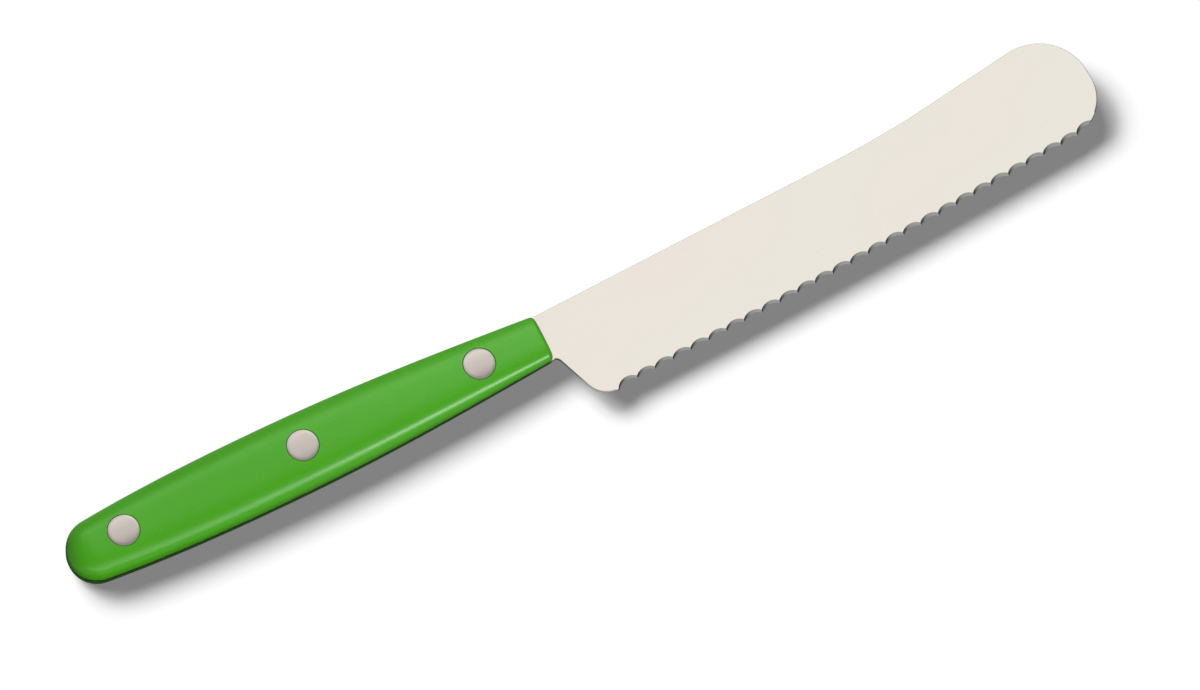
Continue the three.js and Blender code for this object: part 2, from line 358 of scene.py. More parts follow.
def start_tree(name, sockets):
    """A geometry tree with named inputs, and one geometry output."""
    tree = bpy.data.node_groups.new(name, "GeometryNodeTree")
    tree.interface.new_socket("Geometry", in_out="OUTPUT", socket_type="NodeSocketGeometry")
    tree.interface.new_socket("Geometry", in_out="INPUT", socket_type="NodeSocketGeometry")
    for socket, kind in sockets.items():
        tree.interface.new_socket(socket, in_out="INPUT", socket_type="NodeSocket" + kind)
    return tree, add_node(tree, "NodeGroupInput").outputs


def end_tree(tree, geometry, material):
    """Realizes the instances, sets the material and closes the tree."""
    real = add_node(tree, "GeometryNodeRealizeInstances", {"Geometry": geometry})
    dressed = add_node(tree, "GeometryNodeSetMaterial", {"Geometry": real.outputs[0], "Material": material})
    add_node(tree, "NodeGroupOutput", {0: dressed.outputs[0]})


def grown(source, tree, values):
    """The plain mesh that a tree makes from a source mesh."""
    seed = bpy.data.objects.new("seed", source)
    bpy.context.scene.collection.objects.link(seed)
    modifier = seed.modifiers.new("grow", "NODES")
    modifier.node_group = tree
    for item in tree.interface.items_tree:
        if item.in_out == "INPUT" and item.name in values:
            modifier[item.identifier] = values[item.name]
    graph = bpy.context.evaluated_depsgraph_get()
    mesh = bpy.data.meshes.new_from_object(seed.evaluated_get(graph), depsgraph=graph)
    bpy.data.objects.remove(seed)
    return mesh


# Blade

def lower_edge(x):
    """Height of the unground edge, from the heel's round to the tip's."""
    if x < HEEL_AT:
        return HEEL_RADIUS - HEEL_DEPTH - math.sqrt(HEEL_RADIUS**2 - (x - HEEL_AT) ** 2)
    if x > TIP_LOWER.x:
        return TIP_LOWER.y - math.sqrt(TIP_LOWER_RADIUS**2 - (x - TIP_LOWER.x) ** 2)
    share = (x - HEEL_AT) / (TIP_LOWER.x - HEEL_AT)
    line = -HEEL_DEPTH + share * (HEEL_DEPTH - TIP_DEPTH)
    return line - 4 * EDGE_BOW * share * (1 - share)


def blank_outline():
    """Points of the unground blade and tang, each with the round of its edges and its share of scallops."""
    heel = Vector((HEEL_AT, HEEL_RADIUS - HEEL_DEPTH))
    upper, lower = on_handle(0, FRONT_WIDTH / 2), on_handle(0, -FRONT_WIDTH / 2)
    tip_angle = tangent_angle(SPINE_DIP, TIP_UPPER, TIP_UPPER_RADIUS, -1)
    spine_end = on_circle(TIP_UPPER, TIP_UPPER_RADIUS, tip_angle)
    bend_start = towards(SPINE_DIP, upper, SPINE_BLEND_BEHIND)
    bend_end = towards(SPINE_DIP, spine_end, SPINE_BLEND_AHEAD)
    neck = lower + Vector((HEEL_STEP, 0))
    heel_angle = tangent_angle(neck, heel, HEEL_RADIUS, 1) - 2 * math.pi
    heel_end = on_circle(heel, HEEL_RADIUS, heel_angle)
    fillet = towards(neck, heel_end, HEEL_FILLET)

    step = SCALLOP_PITCH / SCALLOP_STEPS
    reach = math.ceil(SCALLOP_RADIUS / step)
    last = (SCALLOP_COUNT - 1) * SCALLOP_STEPS + reach
    columns = [SCALLOP_FIRST + i * step for i in range(last, -reach - 1, -1)]
    scallops = [Vector((x, lower_edge(x))) for x in columns]
    from_tip = -math.acos((columns[0] - TIP_LOWER.x) / TIP_LOWER_RADIUS)
    from_heel = math.asin((columns[-1] - HEEL_AT) / HEEL_RADIUS) - math.pi / 2

    blade = straight(upper, bend_start)[:-1]
    blade += bezier(bend_start, SPINE_DIP, bend_end)[:-1]
    blade += straight(bend_end, spine_end)[:-1]
    blade += arc(TIP_UPPER, TIP_UPPER_RADIUS, tip_angle, 0)
    blade += arc(TIP_LOWER, TIP_LOWER_RADIUS, 0, from_tip)[:-1]
    neck_side = arc(heel, HEEL_RADIUS, from_heel, heel_angle)[1:-1]
    neck_side += straight(heel_end, fillet)[:-1]
    neck_side += bezier(fillet, neck, lower)[:-1]
    tang = [on_handle(along, -half) for along, half in HANDLE_SIDE]
    butt_angle = math.pi / 2 - BUTT_TAPER
    butt = arc(Vector((BUTT_CENTRE, 0)), BUTT_RADIUS, -butt_angle, butt_angle)
    tang += [on_handle(*place) for place in butt[1:-1]]
    tang += [on_handle(along, half) for along, half in HANDLE_SIDE[:0:-1]]
    outline = [(p, EDGE_ROUND, 0.0) for p in blade]
    outline += [(p, EDGE_ROUND, 1.0) for p in scallops]
    outline += [(p, EDGE_ROUND, 0.0) for p in neck_side]
    outline += [(p, TANG_ROUND, 0.0) for p in tang]
    return outline


def edge_profile(rounding, ground):
    """How far in and how high each level of the blade's wall lies: rounded, or plain where it is ground."""
    angles = np.linspace(0, math.pi / 2, CORNER_STEPS + 1)
    inset = rounding * (1 - np.sin(angles))
    height = TANG_FACE - rounding * (1 - np.cos(angles))
    inset = np.concatenate((inset, inset[::-1])) * (1 - ground)
    plain = np.linspace(-TANG_FACE, TANG_FACE, 2 * len(angles))
    rounded = np.concatenate((-height, height[::-1]))
    return inset.tolist(), (rounded + ground * (plain - rounded)).tolist()


def blank_wall():
    """The wall round the blade's blank: a strip of levels, open above and below."""
    outline = blank_outline()
    places = [place for place, _, _ in outline]
    levels = 2 * (CORNER_STEPS + 1)
    points, shares = [], []
    for i, (place, rounding, ground) in enumerate(outline):
        along = places[(i + 1) % len(places)] - places[i - 1]
        inward = Vector((along.y, -along.x)).normalized()
        for inset, height in zip(*edge_profile(rounding, ground)):
            points.append((*(place + inset * inward), height))
            shares.append(ground)
    count = len(points)
    faces = []
    for start in range(0, count, levels):
        after = (start + levels) % count
        for level in range(levels - 1):
            faces.append((start + level, start + level + 1, after + level + 1, after + level))
    mesh = bpy.data.meshes.new("blade_wall")
    mesh.from_pydata(points, [], faces)
    mesh.attributes.new("scalloped", "FLOAT", "POINT").data.foreach_set("value", shares)
    return mesh


def scallop_tree():
    """Grinds a row of scallops into the wall of the blank, from the ground face."""
    sizes = (
        "Pitch", "First", "Count", "Wheel Radius", "Heel Cut", "Tip Cut", "Heel Run", "Tip Run",
        "Thickness", "Heel At", "Heel Depth", "Tip At", "Tip Radius", "Tip Drop", "Edge Bow", "Length",
    )
    kinds = dict.fromkeys(sizes, "Float") | {"Steel": "Material", "Ground Steel": "Material"}
    tree, given = start_tree("scallop grind", kinds)
    size = {name: Term(tree, given[name]) for name in sizes}
    position = add_node(tree, "GeometryNodeInputPosition")
    parts = add_node(tree, "ShaderNodeSeparateXYZ", {0: position.outputs[0]})
    x, y, z = (Term(tree, out) for out in parts.outputs)
    marked = add_node(tree, "GeometryNodeInputNamedAttribute", {"Name": "scalloped"}, data_type="FLOAT")

    def cut_by(wheel):
        """How high one wheel grinds the wall away."""
        centre = size["First"] + wheel.least(0).most(size["Count"] - 1) * size["Pitch"]
        share = (centre - size["Heel At"]) / (size["Tip At"] - size["Heel At"])
        fall = size["Heel Depth"] - size["Tip Drop"] - size["Tip Radius"]
        edge = share * fall - size["Heel Depth"] - 4 * size["Edge Bow"] * share * (1 - share)
        past_tip = centre - size["Tip At"]
        on_tip = past_tip.over(0)
        tip_rise = (size["Tip Radius"] * size["Tip Radius"] - past_tip * past_tip).root()
        tip_edge = 0 - size["Tip Drop"] - tip_rise
        progress = (centre - size["Heel At"]) / (size["Length"] - size["Heel At"])
        depth = size["Heel Cut"] + progress * (size["Tip Cut"] - size["Heel Cut"])
        run = size["Heel Run"] + progress * (size["Tip Run"] - size["Heel Run"])
        top = on_tip * tip_edge + (1 - on_tip) * edge + depth
        from_centre = x - centre
        radius = size["Wheel Radius"]
        arch = top - radius + (radius * radius - from_centre * from_centre).root()
        return arch - run * (0.5 - z / size["Thickness"])

    wheel_before = ((x - size["First"]) / size["Pitch"]).floor()
    cut = cut_by(wheel_before).least(cut_by(wheel_before + 1))
    rise = (cut - y).least(0) * Term(tree, marked.outputs[0])

    kept = add_node(tree, "GeometryNodeStoreNamedAttribute", {
        "Geometry": given["Geometry"], "Name": "rise", "Value": rise,
    }, data_type="FLOAT", domain="POINT")
    lift = add_node(tree, "ShaderNodeCombineXYZ", {"Y": rise})
    cut_wall = add_node(tree, "GeometryNodeSetPosition", {
        "Geometry": kept.outputs[0], "Offset": lift.outputs[0],
    })
    height = add_node(tree, "GeometryNodeInputNamedAttribute", {"Name": "rise"}, data_type="FLOAT")
    ground = Term(tree, height.outputs[0]).over(GROUND_RISE)
    steel = add_node(tree, "GeometryNodeSetMaterial", {
        "Geometry": cut_wall.outputs[0], "Material": given["Steel"],
    })
    bare = add_node(tree, "GeometryNodeSetMaterial", {
        "Geometry": steel.outputs[0], "Selection": ground, "Material": given["Ground Steel"],
    })
    real = add_node(tree, "GeometryNodeRealizeInstances", {"Geometry": bare.outputs[0]})
    add_node(tree, "NodeGroupOutput", {0: real.outputs[0]})
    return tree


def make_blade(steel, ground_steel):
    """Blade and tang: the scalloped wall, closed by its two faces, with a hole for each rivet."""
    wall = grown(blank_wall(), scallop_tree(), {
        "Pitch": SCALLOP_PITCH,
        "First": SCALLOP_FIRST,
        "Count": float(SCALLOP_COUNT),
        "Wheel Radius": SCALLOP_RADIUS,
        "Heel Cut": SCALLOP_HEEL_DEPTH,
        "Tip Cut": SCALLOP_TIP_DEPTH,
        "Heel Run": SCALLOP_HEEL_RUN,
        "Tip Run": SCALLOP_TIP_RUN,
        "Thickness": BLADE_THICKNESS,
        "Heel At": HEEL_AT,
        "Heel Depth": HEEL_DEPTH,
        "Tip At": TIP_LOWER.x,
        "Tip Radius": TIP_LOWER_RADIUS,
        "Tip Drop": -TIP_LOWER.y,
        "Edge Bow": EDGE_BOW,
        "Length": BLADE_LENGTH,
        "Steel": steel,
        "Ground Steel": ground_steel,
    })
    form = bmesh.new()
    form.from_mesh(wall)
    for face in form.faces:
        face.smooth = True
    rims = [edge for edge in form.edges if edge.is_boundary]
    for along in RIVETS_AT:
        rims += add_tube(form, along, TUBE_HOLE_RADIUS, -TANG_FACE, TANG_FACE)
    for side in (-1, 1):
        loop = [edge for edge in rims if all(v.co.z * side > 0 for v in edge.verts)]
        fill_flat(form, loop)
    return finished("ground_blade", form, [steel, ground_steel])


def fill_flat(form, rims):
    """Closes a level face inside its outer rim, and leaves the holes that its inner rims go round."""
    verts = list(dict.fromkeys(vert for edge in rims for vert in edge.verts))
    number = {vert: i for i, vert in enumerate(verts)}
    flat = [vert.co.to_2d() for vert in verts]
    walls = [tuple(number[vert] for vert in edge.verts) for edge in rims]
    _, _, faces, origins, _, _ = delaunay_2d_cdt(flat, walls, [], INSIDE_ONLY, TINY)
    holes = [on_handle(along, 0) for along in RIVETS_AT]
    for face in faces:
        corners = [verts[origins[i][0]] for i in face]
        middle = sum((vert.co.to_2d() for vert in corners), Vector((0, 0))) / 3
        if all((middle - hole).length > TUBE_HOLE_RADIUS for hole in holes):
            form.faces.new(corners)


def add_tube(form, along, radius, low, high):
    """The wall of a round hole on the handle's axis; gives its two rims."""
    rings = [add_ring(form, along, radius, [height] * ROUND_STEPS) for height in (low, high)]
    bridge(form, *rings)
    return [form.edges.get((ring[i - 1], ring[i])) for ring in rings for i in range(ROUND_STEPS)]


def add_ring(form, along, radius, heights):
    """A ring of points round a place on the handle's axis."""
    ring = []
    for i, height in enumerate(heights):
        place = on_circle(on_handle(along, 0), radius, 2 * math.pi * i / len(heights))
        ring.append(form.verts.new((place.x, place.y, height)))
    return ring


def bridge(form, lower, upper):
    """A strip of faces between two rings of points."""
    for i in range(len(lower)):
        face = form.faces.new((lower[i - 1], lower[i], upper[i], upper[i - 1]))
        face.smooth = True


# Scales

def scale_stations():
    """Distances from the handle's front at which the skin is drawn, close together where it rounds off."""
    front = [FRONT_ROUND * (1 - math.cos(a)) for a in np.linspace(0, math.pi / 2, FRONT_STEPS + 1)[:-1]]
    middle = list(np.linspace(FRONT_ROUND, BUTT_ROUND_START, HANDLE_STEPS))
    angles = np.linspace(BUTT_TAPER, math.pi / 2, BUTT_STEPS + 1)[1:-1]
    return front + middle + [BUTT_CENTRE + BUTT_RADIUS * math.sin(a) for a in angles]


def bend(value):
    """Cosine or sine of the arch's angle to a share of its half width or height."""
    return math.copysign(abs(value) ** (2 / CROWN_POWER), value)


def skin_points(drilled):
    """Points of a scale's skin as distance along, angle round the arch, and the number of a hole or -1."""
    rim_radius = HOLE_RADIUS + HOLE_RIM_ROUND
    clear = rim_radius + HOLE_MARGIN
    points = []
    for along in scale_stations():
        half, _ = section(along)
        for angle in np.linspace(0, math.pi, ARCH_STEPS + 1):
            across = half * bend(math.cos(angle))
            if not drilled or all(math.hypot(along - at, across) > clear for at in RIVETS_AT):
                points.append((along, angle, -1))
    if drilled:
        for hole, at in enumerate(RIVETS_AT):
            for i in range(ROUND_STEPS):
                rim = on_circle(Vector((at, 0)), rim_radius, -2 * math.pi * i / ROUND_STEPS)
                share = bend_back(rim.y / half_width(rim.x))
                points.append((rim.x, math.acos(share), hole))
    return points


def bend_back(value):
    """A share of the half width to the cosine of the arch's angle."""
    return math.copysign(abs(value) ** (CROWN_POWER / 2), value)


def skin_faces(points):
    """Triangles between the points of a skin, without those that lie in a hole."""
    stations = scale_stations()
    steps = np.maximum(np.diff(stations), LEAST_STEP)
    spread = np.concatenate(([0.0], np.cumsum(steps)))
    arch_scale = BELLY_WIDTH / 2
    flat = [Vector((np.interp(along, stations, spread), angle * arch_scale)) for along, angle, _ in points]
    rims = []
    for hole in range(len(RIVETS_AT)):
        ring = [i for i, point in enumerate(points) if point[2] == hole]
        rims += [(ring[i - 1], ring[i]) for i in range(len(ring))]
    _, _, faces, origins, _, _ = delaunay_2d_cdt(flat, rims, [], WITH_HULL, TINY)
    triangles = [[origins[i][0] for i in face] for face in faces]
    return [t for t in triangles if points[t[0]][2] < 0 or len({points[i][2] for i in t}) > 1]


def skin_place(along, angle):
    """Where a point of the skin lies, and its normal, in the maker's frame."""
    half, top = section(along)
    across, rise = half * bend(math.cos(angle)), top * bend(max(math.sin(angle), 0))
    if angle > math.pi - 1e-6:
        rise = 0.0
    place = on_handle(along, across)
    return Vector((place.x, place.y, TANG_FACE + rise)), skin_normal(along, across, rise)


def skin_form(drilled):
    """The skin of the right scale with its front and butt closed, its points and their normals."""
    points = skin_points(drilled)
    form = bmesh.new()
    normals = {}
    verts = []
    for along, angle, _ in points:
        place, normal = skin_place(along, angle)
        vert = form.verts.new(place)
        verts.append(vert)
        normals[vert] = normal
    for triangle in skin_faces(points):
        form.faces.new([verts[i] for i in triangle])
    stations = scale_stations()
    butt = on_handle(HANDLE_LENGTH, 0)
    pole = form.verts.new((butt.x, butt.y, TANG_FACE))
    normals[pole] = Vector((*on_handle(1, 0), 0))
    last = [v for v, point in zip(verts, points) if point[0] == stations[-1]]
    for a, b in zip(last, last[1:]):
        form.faces.new((a, pole, b))
    for face in form.faces:
        face.smooth = True
    front = [v for v, point in zip(verts, points) if point[0] == stations[0]]
    form.faces.new(front)
    rims = [[v for v, point in zip(verts, points) if point[2] == hole] for hole in range(len(RIVETS_AT))]
    return form, normals, rims


def make_scale(name, plastic, placed):
    """A scale with a seat and a hole for each rivet."""
    form, normals, rims = skin_form(drilled=True)
    hole_rims = []
    for at, rim in zip(RIVETS_AT, rims):
        hole_rims += add_seat(form, normals, at, rim)
    base = [edge for edge in form.edges if edge.is_boundary and edge not in hole_rims]
    fill_flat(form, base + hole_rims)
    return finished(name, form, [plastic], placed, normals)


def add_seat(form, normals, at, rim):
    """The broken rim, the wall and the floor of a rivet's seat; gives the rim of its through hole."""
    upper = rim
    centre = on_handle(at, 0)
    for angle in np.linspace(0, math.pi / 2, CORNER_STEPS + 1)[1:]:
        radius = HOLE_RADIUS + HOLE_RIM_ROUND * (1 - math.sin(angle))
        ring = []
        for start in rim:
            out = Vector((start.co.x - centre.x, start.co.y - centre.y)).normalized()
            place = centre + radius * out
            along, across = off_handle(place)
            height = TANG_FACE + crown_height(along, across) - HOLE_RIM_ROUND * (1 - math.cos(angle))
            vert = form.verts.new((place.x, place.y, height))
            normals[vert] = (math.cos(angle) * normals[start] - math.sin(angle) * out.to_3d()).normalized()
            ring.append(vert)
        bridge(form, ring, upper)
        upper = ring
    seat = TANG_FACE + crown(at) - HEAD_THICKNESS
    floor_rim = [form.verts.new((v.co.x, v.co.y, seat)) for v in upper]
    bridge(form, floor_rim, upper)
    inner = [shrunk(form, v, centre, TUBE_HOLE_RADIUS, seat) for v in floor_rim]
    bridge(form, inner, floor_rim)
    end = [shrunk(form, v, centre, TUBE_HOLE_RADIUS, TANG_FACE) for v in inner]
    bridge(form, end, inner)
    return [form.edges.get((end[i - 1], end[i])) for i in range(len(end))]


def shrunk(form, vert, centre, radius, height):
    """A copy of a point, drawn to a radius round a centre, at a height."""
    place = centre + radius * (vert.co.to_2d() - centre).normalized()
    return form.verts.new((place.x, place.y, height))


def off_handle(place):
    """How far behind the handle's front, and how far from its axis, a place lies."""
    cos, sin = math.cos(HANDLE_ANGLE), math.sin(HANDLE_ANGLE)
    return place.y * sin - place.x * cos, place.x * sin + place.y * cos


# Rivets

def rivet_tree():
    """Turns a half section into a rivet at each place, with its head ground flush with the crown."""
    tree, given = start_tree("flush rivets", {
        "Section": "Object",
        "Section Points": "Int",
        "Crown": "Object",
        "Steps Round": "Int",
        "Metal": "Material",
    })
    section_shape = add_node(tree, "GeometryNodeObjectInfo", {"Object": given["Section"]})
    sheet = add_node(tree, "GeometryNodeMeshGrid", {
        "Size X": 1.0,
        "Size Y": 1.0,
        "Vertices X": given["Section Points"],
        "Vertices Y": Term(tree, given["Steps Round"]) + 1,
    })
    position = add_node(tree, "GeometryNodeInputPosition")
    parts = add_node(tree, "ShaderNodeSeparateXYZ", {0: position.outputs[0]})
    x, y, _ = (Term(tree, out) for out in parts.outputs)
    place_in_section = ((x + 0.5) * (Term(tree, given["Section Points"]) - 1)).nearest()
    turn = (y + 0.5) * (2 * math.pi)

    def from_section(kind, field):
        sampled = add_node(tree, "GeometryNodeSampleIndex", {
            "Geometry": section_shape.outputs["Geometry"], "Value": field, "Index": place_in_section,
        }, data_type=kind)
        return sampled.outputs[0]

    def named(name):
        field = add_node(tree, "GeometryNodeInputNamedAttribute", {"Name": name}, data_type="FLOAT")
        return field.outputs[0]

    turned = sheet.outputs["Mesh"]
    for name in ("flush", "seated"):
        kept = add_node(tree, "GeometryNodeStoreNamedAttribute", {
            "Geometry": turned, "Name": name, "Value": from_section("FLOAT", named(name)),
        }, data_type="FLOAT", domain="POINT")
        turned = kept.outputs[0]
    half = add_node(tree, "ShaderNodeSeparateXYZ", {0: from_section("FLOAT_VECTOR", position.outputs[0])})
    radius = Term(tree, half.outputs["X"])
    around = add_node(tree, "ShaderNodeCombineXYZ", {
        "X": radius * turn.cosine(), "Y": radius * turn.sine(), "Z": half.outputs["Z"],
    })
    rivet = add_node(tree, "GeometryNodeSetPosition", {"Geometry": turned, "Position": around.outputs[0]})

    spot = add_node(tree, "GeometryNodeStoreNamedAttribute", {
        "Geometry": given["Geometry"], "Name": "spot", "Value": position.outputs[0],
    }, data_type="FLOAT_VECTOR", domain="POINT")
    copies = add_node(tree, "GeometryNodeInstanceOnPoints", {
        "Points": spot.outputs[0], "Instance": rivet.outputs[0],
    })
    real = add_node(tree, "GeometryNodeRealizeInstances", {"Geometry": copies.outputs[0]})

    crown_shape = add_node(tree, "GeometryNodeObjectInfo", {"Object": given["Crown"]})
    well_above = 50.0

    def crown_over(point):
        """Height of the crown over a point, found by a ray straight down."""
        flat = add_node(tree, "ShaderNodeSeparateXYZ", {0: point})
        high = add_node(tree, "ShaderNodeCombineXYZ", {
            "X": flat.outputs["X"], "Y": flat.outputs["Y"], "Z": well_above,
        })
        ray = add_node(tree, "GeometryNodeRaycast", {
            "Target Geometry": crown_shape.outputs["Geometry"],
            "Source Position": high.outputs[0],
            "Ray Direction": (0, 0, -1),
        })
        hit = add_node(tree, "ShaderNodeSeparateXYZ", {0: ray.outputs["Hit Position"]})
        return Term(tree, hit.outputs["Z"])

    spots = add_node(tree, "GeometryNodeInputNamedAttribute", {"Name": "spot"}, data_type="FLOAT_VECTOR")
    flush, seated = Term(tree, named("flush")), Term(tree, named("seated"))
    lift = flush * crown_over(position.outputs[0]) + seated * crown_over(spots.outputs[0])
    up = add_node(tree, "ShaderNodeCombineXYZ", {"Z": lift})
    ground = add_node(tree, "GeometryNodeSetPosition", {
        "Geometry": real.outputs[0], "Offset": up.outputs[0],
    })
    closed = add_node(tree, "GeometryNodeMergeByDistance", {
        "Geometry": ground.outputs[0], "Distance": WELD,
    })
    end_tree(tree, closed.outputs[0], given["Metal"])
    return tree


def rivet_section(name, shank):
    """Half a rivet's section: radius, height, and whether that height counts from crown or seat."""
    shoulder = HEAD_RADIUS - HEAD_SHOULDER
    points = [(radius, 0.0, 1, 0) for radius in np.linspace(0, shoulder, HEAD_STEPS)]
    for share in np.linspace(0, 1, HEAD_STEPS)[1:-1]:
        radius = shoulder + share * (HEAD_SHOULDER - HEAD_RIM_ROUND)
        points.append((radius, -HEAD_SHOULDER_DROP * share**2, 1, 0))
    for angle in np.linspace(0, math.pi / 2, CORNER_STEPS + 1):
        radius = HEAD_RADIUS - HEAD_RIM_ROUND * (1 - math.sin(angle))
        points.append((radius, -HEAD_SHOULDER_DROP - HEAD_RIM_ROUND * (1 - math.cos(angle)), 1, 0))
    points.append((HEAD_RADIUS, -HEAD_THICKNESS, 0, 1))
    points += shank
    mesh = bpy.data.meshes.new(name)
    mesh.from_pydata([(radius, 0, height) for radius, height, _, _ in points], [], [])
    mesh.attributes.new("flush", "FLOAT", "POINT").data.foreach_set("value", [p[2] for p in points])
    mesh.attributes.new("seated", "FLOAT", "POINT").data.foreach_set("value", [p[3] for p in points])
    holder = bpy.data.objects.new(name, mesh)
    bpy.context.scene.collection.objects.link(holder)
    return holder


def make_rivets(name, tree, shank, crown_form, metal, placed):
    """The three sleeves or the three pins."""
    places = bpy.data.meshes.new("rivet_places")
    places.from_pydata([(*on_handle(at, 0), 0) for at in RIVETS_AT], [], [])
    holder = rivet_section(name + "_section", shank)
    mesh = grown(places, tree, {
        "Section": holder,
        "Section Points": len(holder.data.vertices),
        "Crown": crown_form,
        "Steps Round": ROUND_STEPS,
        "Metal": metal,
    })
    bpy.data.objects.remove(holder)
    form = bmesh.new()
    form.from_mesh(mesh)
    for face in form.faces:
        face.smooth = True
    return finished(name, form, [metal], placed)


def sleeve_shank():
    """The tube of a sleeve, open at its end, with a blind bore."""
    bore = STEM_RADIUS + STEM_CLEARANCE
    end = TUBE_END_GAP + HEAD_THICKNESS
    blind = -HEAD_THICKNESS - HEAD_FLOOR
    return [
        (TUBE_RADIUS, -HEAD_THICKNESS, 0, 1),
        (TUBE_RADIUS, end, 0, -1),
        (bore, end, 0, -1),
        (bore, blind, 0, 1),
        (0.0, blind, 0, 1),
    ]


def pin_shank():
    """The solid stem of a pin."""
    end = HEAD_THICKNESS + HEAD_FLOOR + STEM_END_GAP
    return [(STEM_RADIUS, -HEAD_THICKNESS, 0, 1), (STEM_RADIUS, end, 0, -1), (0.0, end, 0, -1)]


# From the maker's frame to the shared one

def to_frame():
    """Millimetres in the maker's frame to metres in the shared frame, found from a rivet and the blade."""
    low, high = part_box("front_rivet_sleeve")
    rivet = (low + high) / 2
    low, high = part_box("blade")
    drawn = on_handle(RIVETS_AT[0], 0) * MM
    shift = Vector((rivet.x - drawn.x, rivet.y - drawn.y, (low.z + high.z) / 2))
    return Matrix.Translation(shift) @ Matrix.Scale(MM, 4)


def turned_over():
    """Half a turn about the handle's axis, which takes the right side to the left."""
    return Matrix.Rotation(math.pi, 4, Vector((*on_handle(1, 0), 0)))


def finished(name, form, materials, placed=Matrix(), normals=None):
    """A bmesh as an object in the shared frame, with sharp corners kept sharp."""
    bmesh.ops.recalc_face_normals(form, faces=form.faces[:])
    form.verts.index_update()
    form.faces.index_update()
    flat = [face.index for face in form.faces if not face.smooth]
    skin = {vert.index: normal for vert, normal in (normals or {}).items()}
    mesh = bpy.data.meshes.new(name)
    form.to_mesh(mesh)
    form.free()
    mesh.set_sharp_from_angle(angle=SHARP_ANGLE)
    for index in flat:
        mesh.polygons[index].use_smooth = False
    if skin:
        same_way = 0.6
        corners = [Vector((0, 0, 0))] * len(mesh.loops)
        for face in mesh.polygons:
            for loop in face.loop_indices:
                normal = skin.get(mesh.loops[loop].vertex_index)
                smooth = face.use_smooth and normal is not None and normal.dot(face.normal) > same_way
                corners[loop] = placed.to_3x3() @ (normal if smooth else face.normal)
    mesh.transform(to_frame() @ placed)
    if skin:
        mesh.normals_split_custom_set(corners)
    for material in materials:
        mesh.materials.append(material)
    piece = bpy.data.objects.new(name, mesh)
    bpy.context.scene.collection.objects.link(piece)
    return piece


# Finishes

class Finish:
    """A material under way: its tree, its shader and a few ways to pattern it."""

    def __init__(self, name):
        self.material = bpy.data.materials.new(name)
        self.material.use_nodes = True
        self.tree = self.material.node_tree
        self.shader = self.tree.nodes["Principled BSDF"]
        self.place = add_node(self.tree, "ShaderNodeTexCoord").outputs["Object"]

    def noise(self, scale, detail=2.0, turn=0.0):
        """Noise with its own scale along each axis, in marks per millimetre."""
        mapping = add_node(self.tree, "ShaderNodeMapping", {
            "Vector": self.place,
            "Rotation": (0, 0, turn),
            "Scale": tuple(s / MM for s in scale),
        })
        noise = add_node(self.tree, "ShaderNodeTexNoise", {
            "Vector": mapping.outputs[0], "Scale": 1.0, "Detail": detail,
        })
        return noise.outputs["Fac"]

    def ranged(self, value, low, high, start=0.3, end=0.7):
        """A noise stretched to a range."""
        node = add_node(self.tree, "ShaderNodeMapRange", {
            "Value": value, "From Min": start, "From Max": end, "To Min": low, "To Max": high,
        })
        return node.outputs[0]

    def blend(self, value, first, second):
        """A colour between two, by a value."""
        node = add_node(self.tree, "ShaderNodeMix", {"Factor": value}, data_type="RGBA")
        node.inputs[6].default_value = (*first, 1)
        node.inputs[7].default_value = (*second, 1)
        return node.outputs[2]

    def bumped(self, value, strength, height):
        """Bump of a height in millimetres."""
        node = add_node(self.tree, "ShaderNodeBump", {
            "Strength": strength, "Distance": height * MM, "Height": value,
        })
        connect(self.tree, node.outputs[0], self.shader.inputs["Normal"])

    def seen(self):
        """One where the eye, a mirror or clear glass looks, and nothing where light only bounces."""
        path = add_node(self.tree, "ShaderNodeLightPath").outputs
        mirrored = Term(self.tree, path["Is Glossy Ray"]).least(path["Is Transmission Ray"])
        return mirrored.least(path["Is Camera Ray"])

    def set(self, **values):
        for name, value in values.items():
            connect(self.tree, value, self.shader.inputs[name.replace("_", " ")])


def blade_finish():
    """Fine satin steel: faint polishing lines along the blade, under a soft even tone."""
    finish = Finish("satin blade steel")
    lines = finish.noise((0.05, 7.0, 7.0), detail=3)
    cloud = finish.noise((0.03, 0.06, 0.06), detail=1)
    finish.set(
        Base_Color=finish.blend(finish.ranged(cloud, 0, 1), (0.862, 0.784, 0.715), (0.836, 0.805, 0.720)),
        Roughness=finish.ranged(lines, 0.265, 0.275),
        Metallic=1.0,
    )
    finish.bumped(lines, 0.002, 0.001)
    return finish.material


def ground_and_shade_finish():
    """Steel fresh from the grinding wheel, with lines down the slope; its darker tone is partly the grind
    and partly painted shade on the scallop bevels.
    """
    finish = Finish("ground scallop steel with painted shade")
    lines = finish.noise((9.0, 0.4, 0.4), detail=3)
    finish.set(
        # Both tones sit below the blade's steel: partly the grind, partly painted shade on the scallop
        # bevels.
        Base_Color=finish.blend(finish.ranged(lines, 0, 1), (0.70, 0.70, 0.67), (0.82, 0.82, 0.79)),
        Roughness=finish.ranged(lines, 0.30, 0.42),
        Metallic=1.0,
    )
    finish.bumped(lines, 0.15, 0.02)
    return finish.material


def plastic_finish():
    """Glossy moulded plastic, with a slight unevenness of tone and polish."""
    finish = Finish("green handle plastic")
    cloud = finish.noise((0.05, 0.12, 0.12), detail=3)
    polish = finish.noise((0.25, 0.9, 0.9), detail=2)
    finish.set(
        Base_Color=finish.blend(finish.ranged(cloud, 0, 1), (0.056, 0.362, 0.003), (0.062, 0.379, 0.006)),
        Roughness=finish.ranged(polish, 0.27, 0.31),
        IOR=1.43,
    )
    finish.bumped(polish, 0.05, 0.02)
    return finish.material


